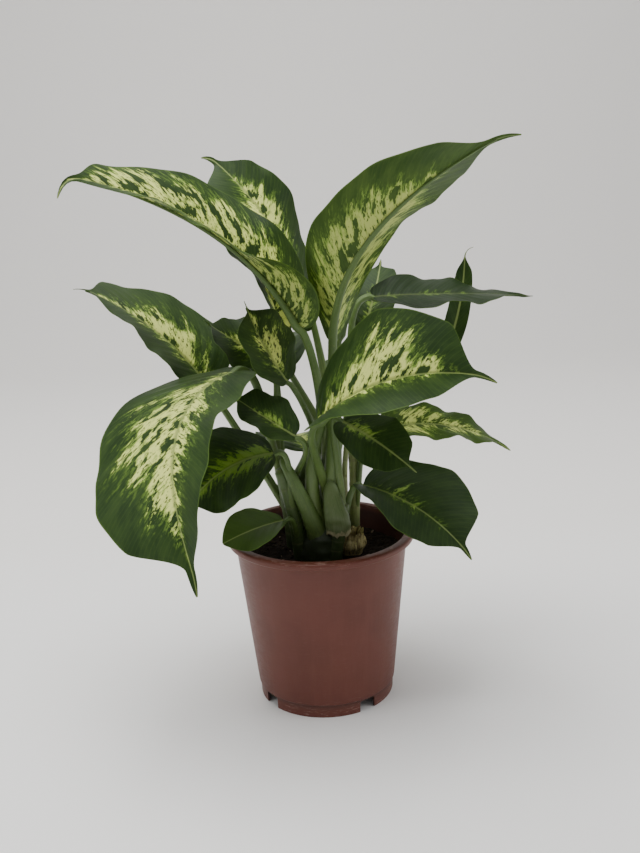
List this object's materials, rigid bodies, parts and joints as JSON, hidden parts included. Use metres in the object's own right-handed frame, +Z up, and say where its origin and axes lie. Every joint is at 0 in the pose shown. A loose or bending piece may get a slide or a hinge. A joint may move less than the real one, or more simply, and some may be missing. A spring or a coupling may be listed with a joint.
{
  "type": "potted dieffenbachia",
  "caption": "Potted dieffenbachia: broad variegated leaves on stalks from short green canes, in a tapered plastic nursery pot filled with soil. Stands free on its foot.",
  "frame": {"origin": "centre of the pot's foot, on the surface that the pot stands on", "axes": "+Z up along the pot's axis; -Y towards the front of the plant; +X to its right-hand side"},
  "size_m": [0.2907, 0.2264, 0.3491],
  "materials": {
    "pot": "satin",
    "soil": "matte",
    "stem": "satin",
    "stump": "matte",
    "leaf": "satin"
  },
  "bodies": {
    "root": {"pot": "pot", "soil": "soil", "stump": "stump", "stem_main": "stem", "stem_left": "stem", "stem_right": "stem", "stem_front": "stem", "stem_back_left": "stem", "stem_back": "stem", "leaf_top_left": "leaf", "leaf_top_left_rear": "leaf", "leaf_top_centre": "leaf", "leaf_top_right": "leaf", "leaf_top_right_rear": "leaf", "leaf_rear_tip": "leaf", "leaf_right_upper": "leaf", "leaf_right_front": "leaf", "leaf_right_rear": "leaf", "leaf_right_middle": "leaf", "leaf_small_front": "leaf", "leaf_right_low": "leaf", "leaf_left_upper": "leaf", "leaf_left_front": "leaf", "leaf_left_low": "leaf", "leaf_left_middle": "leaf", "leaf_left_rear": "leaf", "leaf_left_folded": "leaf", "leaf_small_low": "leaf", "leaf_right_middle_rear": "leaf", "leaf_rear_left": "leaf", "leaf_rear_right": "leaf", "leaf_rear_low": "leaf"}
  },
  "joints": []
}
